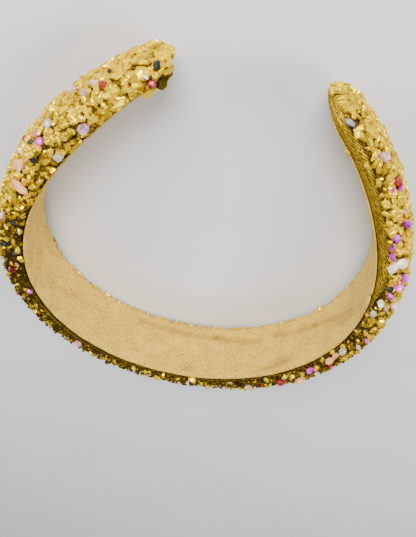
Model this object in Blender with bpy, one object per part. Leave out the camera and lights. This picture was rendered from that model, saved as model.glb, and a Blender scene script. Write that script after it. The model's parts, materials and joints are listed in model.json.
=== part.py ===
"""Crystal headband: a stiff padded band in gold cloth, lined with suede, crusted with gold chips and stones.

It lies on its edge: X runs ear to ear, the crown is at -Y, the two tips are at +Y and Z is up.
"Along" is the distance along the lining from the crown, positive towards +X.
"Across" is the share of the way round a section, from the lining's upper edge to its lower edge.
"Out" is the distance outwards from the lining's inner face, and "depth" is measured in from the chips' tops.
"""

import math
import random

import bmesh
import bpy
import numpy as np
from mathutils import Matrix, Vector

# The bend of the band: the lining's radius of curvature from the crown (share 0) to a tip (share 1). Each arm
# is bent by hand, so the -X and the +X arm differ a little.
HALF_LENGTH = 0.185
BEND_COLUMNS = ("share", "radius_left", "radius_right")
BEND = (
    (0.0, 0.0696, 0.0696),
    (0.2, 0.0581, 0.0660),
    (0.4, 0.0491, 0.0560),
    (0.6, 0.0803, 0.0738),
    (0.8, 0.2893, 0.1537),
    (1.0, 0.0836, 0.0737),
)

# The section: half-widths of lining and body, and the thickness over the chips on the -X and the +X arm.
SECTION_COLUMNS = ("share", "lining", "body", "thickness_left", "thickness_right")
SECTION = (
    (0.00, 0.0131, 0.0149, 0.0102, 0.0102),
    (0.25, 0.0127, 0.0149, 0.0106, 0.0117),
    (0.50, 0.0112, 0.0147, 0.0122, 0.0119),
    (0.75, 0.0089, 0.0126, 0.0138, 0.0124),
    (1.00, 0.0065, 0.0106, 0.0086, 0.0086),
)

# The width of cloth left bare beside the lining, on the -X and the +X arm.
BARE_COLUMNS = ("share", "left", "right")
BARE = (
    (0.00, 0.0011, 0.0011),
    (0.54, 0.0011, 0.0011),
    (0.62, 0.0012, 0.0052),
    (0.75, 0.0014, 0.0053),
    (0.84, 0.0015, 0.0066),
    (0.90, 0.0016, 0.0074),
    (0.95, 0.0016, 0.0066),
    (1.00, 0.0016, 0.0056),
)
WIDEST_SHARE = 0.42
DOME_EXPONENT = 2.3
CAP_LENGTH = 0.0110
CAP_CENTRE_SHARE = 0.45

# Thicknesses of the layers, and the gap left between pieces.
GAP = 0.0003
LINING_THICKNESS = 0.0010
CRUST_THICKNESS = 0.0021
CRUST_RIM = 0.0009
RIM_RAMP = 0.0040
CHIP_RELIEF_SHARE = 0.45

# The lining's rounded end, short of the tip.
LINING_SHORT_OF_TIP = 0.0032
LINING_END_LENGTH = 0.0062
LINING_END_STEPS = 5

# How finely each surface is divided. An even count of stations puts one flat facet of lining at the crown.
CLOTH_STATIONS = 68
CHIP_STATIONS = 121
CAP_STEPS = 4
CLOTH_SPANS = 10
CHIP_SPANS = 14
CHIP_JITTER = 0.34
CHIP_SEED = 11

# How a stone is cut and set.
SEAT_DEPTH = 0.00125
SEAT_SPARE = 0.0002
SEAT_CLEARANCE = 0.00035
STONE_SIDES = 7
STONE_JITTER = 0.16
# Each ring of corners as its share of the height and of the width.
STONE_RINGS = ((0.0, 0.74), (0.46, 1.0), (1.0, 0.60))

# The larger stones: finish, along, across, length, width, how far the table stands over the chips' tops, and
# how far the length is swung away from the band's own line, in degrees.
STONES = (
    ("garnet", -0.1788, 0.09, 0.0032, 0.0030, 0.0008, 20),
    ("garnet", -0.1662, 0.31, 0.0031, 0.0026, 0.0008, 60),
    ("rose", -0.1631, 0.37, 0.0034, 0.0026, 0.0008, 10),
    ("rose", -0.1534, 0.12, 0.0052, 0.0042, 0.0012, 5),
    ("rose", -0.1532, 0.48, 0.0054, 0.0030, 0.0010, 0),
    ("clear", -0.1434, 0.33, 0.0042, 0.0030, 0.0008, 50),
    ("clear", -0.1389, 0.09, 0.0050, 0.0038, 0.0008, 0),
    ("magenta", -0.1383, 0.26, 0.0034, 0.0024, 0.0010, 30),
    ("rose", -0.1259, 0.27, 0.0060, 0.0042, 0.0012, 0),
    ("rose", -0.1204, 0.17, 0.0082, 0.0034, 0.0010, 80),
    ("garnet", -0.0823, 0.12, 0.0040, 0.0026, 0.0008, 30),
    ("rose", -0.0386, 0.08, 0.0042, 0.0028, 0.0008, 0),
    ("garnet", 0.0473, 0.10, 0.0052, 0.0036, 0.0010, 0),
    ("rose", 0.0540, 0.16, 0.0050, 0.0034, 0.0012, 10),
    ("magenta", 0.0613, 0.07, 0.0042, 0.0028, 0.0010, 0),
    ("rose", 0.0710, 0.07, 0.0042, 0.0032, 0.0012, 0),
    ("clear", 0.0786, 0.07, 0.0048, 0.0032, 0.0010, 20),
    ("clear", 0.1017, 0.08, 0.0036, 0.0028, 0.0008, 0),
    ("rose", 0.1059, 0.23, 0.0046, 0.0030, 0.0010, 20),
    ("clear", 0.1078, 0.105, 0.0044, 0.0030, 0.0008, 10),
    ("magenta", 0.1115, 0.16, 0.0040, 0.0024, 0.0010, 25),
    ("magenta", 0.1171, 0.27, 0.0046, 0.0030, 0.0012, 20),
    ("rose", 0.1248, 0.22, 0.0058, 0.0044, 0.0012, 60),
    ("magenta", 0.1356, 0.19, 0.0038, 0.0032, 0.0010, 30),
    ("magenta", 0.1373, 0.32, 0.0034, 0.0028, 0.0010, 15),
    ("garnet", 0.1519, 0.36, 0.0046, 0.0032, 0.0010, 0),
    ("rose", 0.1621, 0.33, 0.0038, 0.0036, 0.0012, 0),
    ("clear", 0.1775, 0.22, 0.0042, 0.0026, 0.0008, 10),
    ("garnet", -0.1500, 0.72, 0.0038, 0.0028, 0.0010, 40),
    ("rose", -0.1180, 0.66, 0.0054, 0.0036, 0.0012, 30),
    ("magenta", -0.0950, 0.50, 0.0038, 0.0028, 0.0010, 10),
    ("garnet", -0.0660, 0.40, 0.0044, 0.0030, 0.0010, 70),
    ("rose", -0.0480, 0.62, 0.0062, 0.0038, 0.0012, 35),
    ("clear", -0.0220, 0.42, 0.0042, 0.0030, 0.0010, 20),
    ("magenta", -0.0040, 0.68, 0.0040, 0.0028, 0.0010, 65),
    ("rose", 0.0170, 0.48, 0.0058, 0.0038, 0.0012, 15),
    ("smoky", 0.0360, 0.64, 0.0038, 0.0028, 0.0010, 45),
    ("garnet", 0.0600, 0.46, 0.0044, 0.0032, 0.0010, 5),
    ("rose", 0.0850, 0.60, 0.0056, 0.0036, 0.0012, 50),
    ("magenta", 0.1200, 0.56, 0.0038, 0.0028, 0.0010, 25),
    ("clear", 0.1480, 0.64, 0.0042, 0.0030, 0.0010, 60),
)

# Each finish as its colour, roughness and metallic share.
FINISHES = {
    "beige_suede": ((0.69, 0.53, 0.31), 0.95, 0.0),
    "gold_cloth": ((0.50, 0.34, 0.05), 0.40, 0.8),
    "gold_chips": ((0.85, 0.60, 0.12), 0.25, 1.0),
    "rose": ((0.86, 0.60, 0.56), 0.30, 0.0),
    "magenta": ((0.55, 0.10, 0.62), 0.25, 0.4),
    "garnet": ((0.42, 0.03, 0.05), 0.20, 0.0),
    "smoky": ((0.07, 0.07, 0.09), 0.20, 0.0),
    "clear": ((0.86, 0.85, 0.86), 0.15, 0.0),
}

# Steps of the sums and slopes.
LINE_STEPS = 740
FLANK_STEPS = 8
DOME_STEPS = 40
SLOPE_REACH = 0.0006


def column(table, columns, name):
    return np.array([row[columns.index(name)] for row in table])


def lining_line(arm):
    """The lining's bent line from the crown to a tip, as distances along it with x, y and heading at each."""
    along = np.linspace(0.0, HALF_LENGTH, LINE_STEPS + 1)
    curvature = np.interp(
        along / HALF_LENGTH,
        column(BEND, BEND_COLUMNS, "share"),
        1.0 / column(BEND, BEND_COLUMNS, "radius_" + arm),
    )

    def summed(rate):
        return np.concatenate([[0.0], np.cumsum((rate[1:] + rate[:-1]) / 2 * along[1])])

    heading = summed(curvature)
    return along, summed(np.cos(heading)), summed(np.sin(heading)), heading


LINES = {arm: lining_line(arm) for arm in ("left", "right")}


def arm_at(along):
    return "left" if along < 0 else "right"


def section_size(name, along):
    """One size of the section, on a smooth curve through the table's rows that is level at the crown."""
    if name == "thickness":
        name = "thickness_" + arm_at(along)
    shares = column(SECTION, SECTION_COLUMNS, "share")
    rows = column(SECTION, SECTION_COLUMNS, name)
    slopes = np.gradient(rows, shares)
    slopes[0] = 0.0
    at = min(abs(along) / HALF_LENGTH, 1.0)
    i = min(int(np.searchsorted(shares, at, side="right")) - 1, len(rows) - 2)
    span = shares[i + 1] - shares[i]
    t = (at - shares[i]) / span
    return float(
        (2 * t**3 - 3 * t**2 + 1) * rows[i]
        + (t**3 - 2 * t**2 + t) * span * slopes[i]
        + (3 * t**2 - 2 * t**3) * rows[i + 1]
        + (t**3 - t**2) * span * slopes[i + 1]
    )


def bare_cloth(along):
    shares = column(BARE, BARE_COLUMNS, "share")
    return float(np.interp(abs(along) / HALF_LENGTH, shares, column(BARE, BARE_COLUMNS, arm_at(along))))


def crust_shares(along, spans):
    """Even shares across the crust, from one rim to the other."""
    rim = bare_cloth(along) / section_outline(along)[2][-1]
    return np.linspace(rim, 1.0 - rim, spans + 1)


def on_line(along, out, up):
    """The point at a distance along the lining, that far out from its inner face and above its middle."""
    reach = min(abs(along), HALF_LENGTH)
    side = math.copysign(1.0, along)
    steps, line_x, line_y, line_heading = LINES[arm_at(along)]
    x = side * np.interp(reach, steps, line_x)
    y = np.interp(reach, steps, line_y)
    heading = side * np.interp(reach, steps, line_heading)
    return Vector((x + math.sin(heading) * out, y - math.cos(heading) * out, up))


def cap_shrink(along, tip_depth):
    """How far a layer's section is drawn in near a tip, for a layer whose tip is that deep in the chips'."""
    into_cap = abs(along) - (HALF_LENGTH - CAP_LENGTH)
    share = min(max(into_cap / (CAP_LENGTH - tip_depth), 0.0), 1.0)
    return math.sqrt(1.0 - share**2)


def drawn_in(along, out, up, tip_depth):
    """A point of the plain section, drawn in by the cap's rounding towards the cap's centre."""
    centre = CAP_CENTRE_SHARE * section_size("thickness", along)
    shrink = cap_shrink(along, tip_depth)
    return on_line(along, centre + (out - centre) * shrink, up * shrink)


def section_outline(along):
    """The outline over the chips from the lining's upper edge to its lower: up, out and distance run."""
    lining = section_size("lining", along)
    body = section_size("body", along)
    thickness = section_size("thickness", along)
    widest = WIDEST_SHARE * thickness
    turn = np.linspace(0.0, math.pi / 2, FLANK_STEPS, endpoint=False)
    flank_up = lining + (body - lining) * np.sin(turn)
    flank_out = widest - (widest - LINING_THICKNESS) * np.cos(turn)
    arch = np.linspace(0.0, math.pi, DOME_STEPS + 1)
    power = 2.0 / DOME_EXPONENT
    dome_up = body * np.sign(np.cos(arch)) * np.abs(np.cos(arch)) ** power
    dome_out = widest + (thickness - widest) * np.abs(np.sin(arch)) ** power
    up = np.concatenate([flank_up, dome_up, -flank_up[::-1]])
    out = np.concatenate([flank_out, dome_out, flank_out[::-1]])
    run = np.concatenate([[0.0], np.cumsum(np.hypot(np.diff(up), np.diff(out)))])
    return up, out, run


def smooth_step(value):
    value = min(max(value, 0.0), 1.0)
    return value * value * (3.0 - 2.0 * value)


def crust_depth(along, edge_distance):
    """The depth of the crust's underside, at a distance from the lining's edge round the section."""
    bare = bare_cloth(along)
    rim = CRUST_RIM * smooth_step(edge_distance / bare)
    return rim + (CRUST_THICKNESS - CRUST_RIM) * smooth_step((edge_distance - bare) / RIM_RAMP)


def edge_distance(along, across):
    run = section_outline(along)[2][-1]
    return min(across, 1.0 - across) * run


def body_point(along, across, depth, tip_depth=0.0):
    """A point of the body at a share across, that deep under the chips' tops."""
    up, out, run = section_outline(along)
    at = across * run[-1]
    before = max(at - SLOPE_REACH, 0.0)
    after = min(at + SLOPE_REACH, run[-1])
    turn_up = np.interp(after, run, up) - np.interp(before, run, up)
    turn_out = np.interp(after, run, out) - np.interp(before, run, out)
    size = math.hypot(turn_up, turn_out)
    here_up = np.interp(at, run, up) - depth * turn_out / size
    here_out = np.interp(at, run, out) + depth * turn_up / size
    return drawn_in(along, here_out, here_up, tip_depth)


def stations(body_count, tip_depth):
    """Distances along the band, even over its body and closing up round each tip, without the tips."""
    straight = HALF_LENGTH - CAP_LENGTH
    turns = np.arange(1, CAP_STEPS) / CAP_STEPS * math.pi / 2
    cap = straight + (CAP_LENGTH - tip_depth) * np.sin(turns)
    return np.concatenate([-cap[::-1], np.linspace(-straight, straight, body_count), cap])


def tip_point(side, tip_depth):
    along = side * (HALF_LENGTH - tip_depth)
    return drawn_in(along, CAP_CENTRE_SHARE * section_size("thickness", along), 0.0, tip_depth)


def add_object(name, mesh_data, finish, parent):
    """Make a bmesh an object in one finish, and free it."""
    mesh = bpy.data.meshes.new(name)
    mesh_data.to_mesh(mesh)
    mesh_data.free()
    mesh.materials.append(finish)
    thing = bpy.data.objects.new(name, mesh)
    bpy.context.collection.objects.link(thing)
    thing.parent = parent
    return thing


def finish_material(name):
    colour, roughness, metallic = FINISHES[name]
    material = bpy.data.materials.new(name)
    material.use_nodes = True
    shader = material.node_tree.nodes["Principled BSDF"]
    shader.inputs["Base Color"].default_value = (*colour, 1.0)
    shader.inputs["Roughness"].default_value = roughness
    shader.inputs["Metallic"].default_value = metallic
    material.diffuse_color = (*colour, 1.0)
    return material


def skin_rings(shape, rings):
    """Quads between neighbouring closed rings of vertices."""
    for first, second in zip(rings, rings[1:]):
        for i in range(len(first)):
            shape.faces.new((first[i - 1], first[i], second[i], second[i - 1]))


def cloth_band(finish, parent):
    """The padded body in gold cloth: a dome under the crust, bare flanks, a flat face under the lining."""
    shape = bmesh.new()
    tip_depth = CRUST_THICKNESS + GAP
    rings = []
    for along in stations(CLOTH_STATIONS, tip_depth):
        ring = []
        under_crust = crust_shares(along, CLOTH_SPANS)
        flank = under_crust[0] * np.array((0.0, 0.5))
        for across in np.concatenate([flank, under_crust, 1.0 - flank[::-1]]):
            depth = crust_depth(along, edge_distance(along, across)) + GAP
            ring.append(shape.verts.new(body_point(along, across, depth, tip_depth)))
        rings.append(ring)
    skin_rings(shape, rings)
    for side, ring in ((-1, rings[0]), (1, rings[-1])):
        tip = shape.verts.new(tip_point(side, tip_depth))
        for first, second in zip(ring, ring[1:] + ring[:1]):
            shape.faces.new((first, second, tip))
    bmesh.ops.recalc_face_normals(shape, faces=shape.faces)
    return add_object("cloth_band", shape, finish, parent)


def suede_lining(finish, parent):
    """The suede strip on the band's inner face, one flat facet across at each station, with rounded ends."""
    shape = bmesh.new()
    end = HALF_LENGTH - LINING_SHORT_OF_TIP
    straight = end - LINING_END_LENGTH
    body = np.linspace(-straight, straight, CLOTH_STATIONS)
    turns = np.arange(1, LINING_END_STEPS) / LINING_END_STEPS * math.pi / 2
    rounding = straight + LINING_END_LENGTH * np.sin(turns)
    tip_depth = CRUST_THICKNESS + GAP
    rings = []
    for along in np.concatenate([-rounding[::-1], body, rounding]):
        into_end = max((abs(along) - straight) / LINING_END_LENGTH, 0.0)
        half_width = section_size("lining", along) * math.sqrt(1.0 - into_end**2)
        inner = [(0.0, half_width), (0.0, -half_width)]
        outer = [(LINING_THICKNESS, -half_width), (LINING_THICKNESS, half_width)]
        rings.append([shape.verts.new(drawn_in(along, out, up, tip_depth)) for out, up in inner + outer])
    skin_rings(shape, rings)
    shape.faces.new(rings[0])
    shape.faces.new(rings[-1])
    bmesh.ops.recalc_face_normals(shape, faces=shape.faces)
    return add_object("suede_lining", shape, finish, parent)


def seat_depth(along, across, width):
    """How deep a stone's back lies: in the crust, and never lower than the cloth beside a narrow rim."""
    nearest = max(edge_distance(along, across) - width / 2, 0.0)
    return min(SEAT_DEPTH, crust_depth(along, nearest) + SEAT_SPARE)


def stone_hull(stone, seed, clearance=0.0):
    """A cut stone standing on its flat back at z = 0, as the hull of a back, a girdle and a table."""
    finish, along, across, length, width, proud, turn = stone
    height = proud + seat_depth(along, across, width)
    draw = random.Random(seed)
    hull = bmesh.new()
    for height_share, width_share in STONE_RINGS:
        up = height * height_share + clearance * (2.0 * height_share - 1.0)
        start = draw.uniform(0.0, math.tau / STONE_SIDES)
        for i in range(STONE_SIDES):
            angle = start + math.tau * (i + draw.uniform(-STONE_JITTER, STONE_JITTER)) / STONE_SIDES
            reach = width_share * draw.uniform(1.0 - STONE_JITTER, 1.0)
            x = math.cos(angle) * (reach * length / 2 + clearance)
            y = math.sin(angle) * (reach * width / 2 + clearance)
            hull.verts.new((x, y, up))
    result = bmesh.ops.convex_hull(hull, input=hull.verts)
    loose = [item for item in result["geom_interior"] if isinstance(item, bmesh.types.BMVert)]
    bmesh.ops.delete(hull, geom=loose, context="VERTS")
    inside = Vector((0.0, 0.0, height / 2))
    for face in hull.faces:
        face.normal_update()
        if face.normal.dot(face.calc_center_median() - inside) < 0.0:
            face.normal_flip()
    return hull


def stone_frame(stone):
    """The stone's place: z out of the band, x along it and swung by the stone's turn."""
    finish, along, across, length, width, proud, turn = stone
    ahead = body_point(along + SLOPE_REACH, across, 0.0) - body_point(along - SLOPE_REACH, across, 0.0)
    reach = SLOPE_REACH / section_outline(along)[2][-1]
    over = body_point(along, across + reach, 0.0) - body_point(along, across - reach, 0.0)
    normal = ahead.cross(over).normalized()
    seat = body_point(along, across, 0.0)
    middle = on_line(along, CAP_CENTRE_SHARE * section_size("thickness", along), 0.0)
    if normal.dot(seat - middle) < 0.0:
        normal.negate()
    forward = (ahead - normal * ahead.dot(normal)).normalized()
    sideways = normal.cross(forward)
    turned = Matrix.Rotation(math.radians(turn), 4, "Z")
    place = Matrix((forward, sideways, normal)).transposed().to_4x4()
    place.translation = seat - normal * seat_depth(along, across, width)
    return place @ turned


def set_stones(finishes, parent):
    """Every larger stone as its own object, numbered by its finish."""
    count = {}
    for seed, stone in enumerate(STONES):
        finish = stone[0]
        count[finish] = count.get(finish, 0) + 1
        hull = stone_hull(stone, seed)
        hull.transform(stone_frame(stone))
        add_object(f"{finish}_stone_{count[finish]:02d}", hull, finishes[finish], parent)


def stone_seats(finish, parent):
    """The cutter for the crust's seats: every stone with its clearance."""
    seats = bmesh.new()
    for seed, stone in enumerate(STONES):
        hull = stone_hull(stone, seed, SEAT_CLEARANCE)
        hull.transform(stone_frame(stone))
        piece = bpy.data.meshes.new("seat")
        hull.to_mesh(piece)
        hull.free()
        seats.from_mesh(piece)
        bpy.data.meshes.remove(piece)
    cutter = add_object("stone_seats", seats, finish, parent)
    cutter.hide_render = True
    cutter.display_type = "WIRE"
    return cutter


def gold_chip_crust(finish, parent, seats):
    """The glued field of gold chips: rough outside, smooth underneath, with a seat for each larger stone."""
    draw = random.Random(CHIP_SEED)
    shape = bmesh.new()
    tops = []
    bottoms = []
    step_along = 2 * (HALF_LENGTH - CAP_LENGTH) / (CHIP_STATIONS - 1)
    under_stations = stations(CHIP_STATIONS, CRUST_THICKNESS)
    for top_along, under_along in zip(stations(CHIP_STATIONS, 0.0), under_stations):
        on_cap = abs(top_along) > HALF_LENGTH - CAP_LENGTH
        jitter = 0.0 if on_cap else CHIP_JITTER
        shares = crust_shares(top_along, CHIP_SPANS)
        row = []
        for i, across in enumerate(shares):
            along = top_along + step_along * draw.uniform(-jitter, jitter)
            if 0 < i < CHIP_SPANS:
                across += (shares[1] - shares[0]) * draw.uniform(-jitter, jitter)
            local = crust_depth(along, edge_distance(along, across))
            depth = local * CHIP_RELIEF_SHARE * draw.uniform(0.0, 1.0)
            row.append(shape.verts.new(body_point(along, across, depth)))
        tops.append(row)
        row = []
        for across in crust_shares(under_along, CLOTH_SPANS):
            depth = crust_depth(under_along, edge_distance(under_along, across))
            row.append(shape.verts.new(body_point(under_along, across, depth, CRUST_THICKNESS)))
        bottoms.append(row)
    for rows in (tops, bottoms):
        for first, second in zip(rows, rows[1:]):
            for a, b, c, d in zip(first, first[1:], second[1:], second):
                if draw.random() < 0.5:
                    shape.faces.new((a, b, c))
                    shape.faces.new((a, c, d))
                else:
                    shape.faces.new((a, b, d))
                    shape.faces.new((b, c, d))
    for i in (0, -1):
        for first, second, third, fourth in zip(tops, tops[1:], bottoms[1:], bottoms):
            shape.faces.new((first[i], second[i], third[i], fourth[i]))
    for side, top, bottom in ((-1, tops[0], bottoms[0]), (1, tops[-1], bottoms[-1])):
        outer_tip = shape.verts.new(tip_point(side, 0.0))
        inner_tip = shape.verts.new(tip_point(side, CRUST_THICKNESS))
        for row, tip in ((top, outer_tip), (bottom, inner_tip)):
            for a, b in zip(row, row[1:]):
                shape.faces.new((a, b, tip))
        for i in (0, -1):
            shape.faces.new((top[i], outer_tip, inner_tip, bottom[i]))
    bmesh.ops.recalc_face_normals(shape, faces=shape.faces)
    crust = add_object("gold_chip_crust", shape, finish, parent)
    cut = crust.modifiers.new("stone_seats", "BOOLEAN")
    cut.operation = "DIFFERENCE"
    cut.solver = "EXACT"
    cut.use_self = True
    cut.object = seats
    return crust


def stand_on_origin(parent):
    """Move the whole headband so that the middle of its underside box is the origin."""
    bpy.context.view_layer.update()
    depsgraph = bpy.context.evaluated_depsgraph_get()
    corners = []
    for thing in parent.children:
        if thing.hide_render:
            continue
        evaluated = thing.evaluated_get(depsgraph)
        corners += [tuple(vertex.co) for vertex in evaluated.to_mesh().vertices]
        evaluated.to_mesh_clear()
    low = np.min(corners, axis=0)
    high = np.max(corners, axis=0)
    parent.location = (-(low[0] + high[0]) / 2, -(low[1] + high[1]) / 2, -low[2])


for thing in list(bpy.data.objects):
    bpy.data.objects.remove(thing, do_unlink=True)
headband = bpy.data.objects.new("headband", None)
bpy.context.collection.objects.link(headband)
materials = {name: finish_material(name) for name in FINISHES}
cloth_band(materials["gold_cloth"], headband)
suede_lining(materials["beige_suede"], headband)
set_stones(materials, headband)
gold_chip_crust(materials["gold_chips"], headband, stone_seats(materials["gold_chips"], headband))
stand_on_origin(headband)
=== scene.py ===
"""The looks of the crystal headband: gold cloth, suede lining, gold chips and rough coloured stones.

Lengths are in metres. "Along" is the distance along the lining from the crown, positive towards +X.
"Across" is the share of the way round a section, from the lining's upper edge to its lower edge.
"Place" is "along" carried on round a tip's rounded cap.
"""

import json
import math

import bpy
import numpy as np
from mathutils import Matrix, Vector


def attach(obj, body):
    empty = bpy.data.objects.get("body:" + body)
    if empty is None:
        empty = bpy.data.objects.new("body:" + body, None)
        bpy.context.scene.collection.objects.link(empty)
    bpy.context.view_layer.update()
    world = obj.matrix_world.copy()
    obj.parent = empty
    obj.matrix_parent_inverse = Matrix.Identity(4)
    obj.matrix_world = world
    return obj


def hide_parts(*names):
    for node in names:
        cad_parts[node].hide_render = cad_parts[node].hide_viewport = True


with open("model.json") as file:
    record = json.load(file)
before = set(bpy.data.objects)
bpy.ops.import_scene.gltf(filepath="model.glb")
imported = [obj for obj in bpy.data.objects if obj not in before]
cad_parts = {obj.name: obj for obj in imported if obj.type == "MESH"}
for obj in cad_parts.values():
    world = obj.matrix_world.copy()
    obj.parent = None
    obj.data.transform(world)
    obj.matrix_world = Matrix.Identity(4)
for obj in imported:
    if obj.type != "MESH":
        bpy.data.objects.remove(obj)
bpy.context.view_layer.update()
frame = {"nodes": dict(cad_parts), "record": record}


# The padded band
# A springy hoop padded with foam and wrapped tightly in gold metallic cloth, which is glued under the lining.
# The cloth shows as a strip on both flanks, widest on the +X arm, with slanting ribs and long creases.
HALF_LENGTH = 0.185
# The lining's radius of curvature on the -X and the +X arm, from the crown (share 0) to a tip (share 1).
BEND = np.array((
    (0.0, 0.0696, 0.0696),
    (0.2, 0.0581, 0.0660),
    (0.4, 0.0491, 0.0560),
    (0.6, 0.0803, 0.0738),
    (0.8, 0.2893, 0.1537),
    (1.0, 0.0836, 0.0737),
))
# The half-widths of lining and body, and the thickness over the chips on each arm, in these columns.
LINING_COLUMN, BODY_COLUMN, LEFT_THICKNESS_COLUMN, RIGHT_THICKNESS_COLUMN = 1, 2, 3, 4
SECTION = np.array((
    (0.00, 0.0131, 0.0149, 0.0102, 0.0102),
    (0.25, 0.0127, 0.0149, 0.0106, 0.0117),
    (0.50, 0.0112, 0.0147, 0.0122, 0.0119),
    (0.75, 0.0089, 0.0126, 0.0138, 0.0124),
    (1.00, 0.0065, 0.0106, 0.0086, 0.0086),
))
# The width of bare cloth above the lining on the -X and the +X arm, and then below it.
BARE = np.array((
    (0.00, 0.0013, 0.0013, 0.0007, 0.0007),
    (0.10, 0.0019, 0.0012, 0.0007, 0.0007),
    (0.36, 0.0019, 0.0011, 0.0007, 0.0008),
    (0.46, 0.0009, 0.0011, 0.0008, 0.0008),
    (0.54, 0.0007, 0.0011, 0.0008, 0.0009),
    (0.57, 0.0007, 0.0014, 0.0009, 0.0014),
    (0.62, 0.0007, 0.0054, 0.0010, 0.0050),
    (0.77, 0.0008, 0.0054, 0.0014, 0.0053),
    (0.84, 0.0009, 0.0068, 0.0015, 0.0066),
    (0.90, 0.0009, 0.0081, 0.0016, 0.0074),
    (0.94, 0.0009, 0.0074, 0.0016, 0.0068),
    (0.985, 0.0009, 0.0094, 0.0016, 0.0058),
    (1.00, 0.0009, 0.0160, 0.0016, 0.0056),
))
# Where a section is widest, as a share of its thickness, and how square its dome is.
WIDEST_SHARE = 0.42
DOME_EXPONENT = 2.3
# Each tip's rounded cap: its length, the way over it, and the height that its rows close on.
CAP_LENGTH = 0.0110
CAP_ARC = 0.0150
CAP_CENTRE_SHARE = 0.45
STRAIGHT = HALF_LENGTH - CAP_LENGTH
REACH = STRAIGHT + CAP_ARC
# The layers, and the thin rim of the chips' crust, which thickens over the ramp.
GAP = 0.0003
LINING_THICKNESS = 0.0010
CRUST_THICKNESS = 0.0021
CRUST_RIM = 0.0009
RIM_RAMP = 0.0040
# The points that a section, the bent line and the lattice are worked out from.
FLANK_POINTS = 12
ARCH_POINTS = 81
LINE_POINTS = 741
LATTICE_SPACING = 0.0004
LATTICE_ACROSS = 161
LATTICE_REACH = REACH * 0.9995
# The cloth's rows, its columns on each flank, under the chips and under the lining, and each flank's share.
CLOTH_ROWS = 900
CLOTH_REACH_SHARE = 0.9985
FLANK_COLUMNS = 21
BACK_COLUMNS = 19
INNER_COLUMNS = 7
CLOTH_FLANK = 0.17
# The long creases, each as its wavelengths along and across, and how far from the lining they start.
CREASE_WAVES = ((0.060, 0.0026), (0.034, -0.0031), (0.021, 0.0045), (0.0085, 0.0060))
CREASE_DEPTH = 0.00024
CREASE_START = 0.0010
CREASE_SEED = 3
# The painted shade in the groove beside the lining: its width and its strength at places along the band.
GROOVE_PLACES = (-0.115, -0.090, -0.025, 0.000)
GROOVE_SHADE_WIDTHS = (0.00055, 0.00130, 0.00130, 0.00055)
GROOVE_FADE_PLACES = (0.085, 0.115)
GROOVE_SHADE_STRENGTHS = (1.0, 0.30)
# The cloth's ribs: their pitch and slant, and the turn of the wave texture for one unit of its coordinate.
RIB_PITCH_CM = 0.100
RIB_SLANT = math.radians(-58.0)
WAVE_TURN = 20.0
# The cloth's patterns are drawn in centimetres, over a lining this wide.
CM_PER_M = 100.0
LINING_WIDTH_CM = 2.6
MERGE_DISTANCE = 0.000002
CROWN = np.array(frame["record"]["mounts"][0]["pos_m"])


def size_on_curve(column, along):
    """One column of the section table at each distance along, on a smooth curve level at the crown."""
    shares = SECTION[:, 0]
    rows = SECTION[:, column]
    slopes = np.gradient(rows, shares)
    slopes[0] = 0.0
    at = np.minimum(np.abs(along) / HALF_LENGTH, 1.0)
    i = np.minimum(np.searchsorted(shares, at, side="right") - 1, len(rows) - 2)
    span = shares[i + 1] - shares[i]
    t = (at - shares[i]) / span
    return (
        (2 * t**3 - 3 * t**2 + 1) * rows[i]
        + (t**3 - 2 * t**2 + t) * span * slopes[i]
        + (3 * t**2 - 2 * t**3) * rows[i + 1]
        + (t**3 - t**2) * span * slopes[i + 1]
    )


def thickness_at(along):
    """The thickness over the chips at each distance along."""
    left = size_on_curve(LEFT_THICKNESS_COLUMN, along)
    right = size_on_curve(RIGHT_THICKNESS_COLUMN, along)
    return np.where(along < 0, left, right)


def summed(rate, step):
    """The running total of a rate over even or given steps."""
    return np.concatenate([[0.0], np.cumsum((rate[1:] + rate[:-1]) / 2 * step)])


def arm_line(radii):
    """One arm's bent line as its x, y and heading at even steps from the crown."""
    heading = summed(np.interp(line_along / HALF_LENGTH, BEND[:, 0], 1.0 / radii), line_along[1])
    return summed(np.cos(heading), line_along[1]), summed(np.sin(heading), line_along[1]), heading


line_along = np.linspace(0.0, HALF_LENGTH, LINE_POINTS)
left_line = arm_line(BEND[:, 1])
right_line = arm_line(BEND[:, 2])


def on_line(along, out, up):
    """Points at distances along the lining, that far out from its inner face and above its middle."""
    side = np.where(along < 0, -1.0, 1.0)
    x, y, heading = (
        np.where(along < 0, np.interp(-along, line_along, left), np.interp(along, line_along, right))
        for left, right in zip(left_line, right_line)
    )
    sideways = side * (x + np.sin(heading) * out)
    towards_tips = y - np.cos(heading) * out
    return np.stack([sideways, towards_tips, up + 0.0 * out], axis=-1) + CROWN


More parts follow.
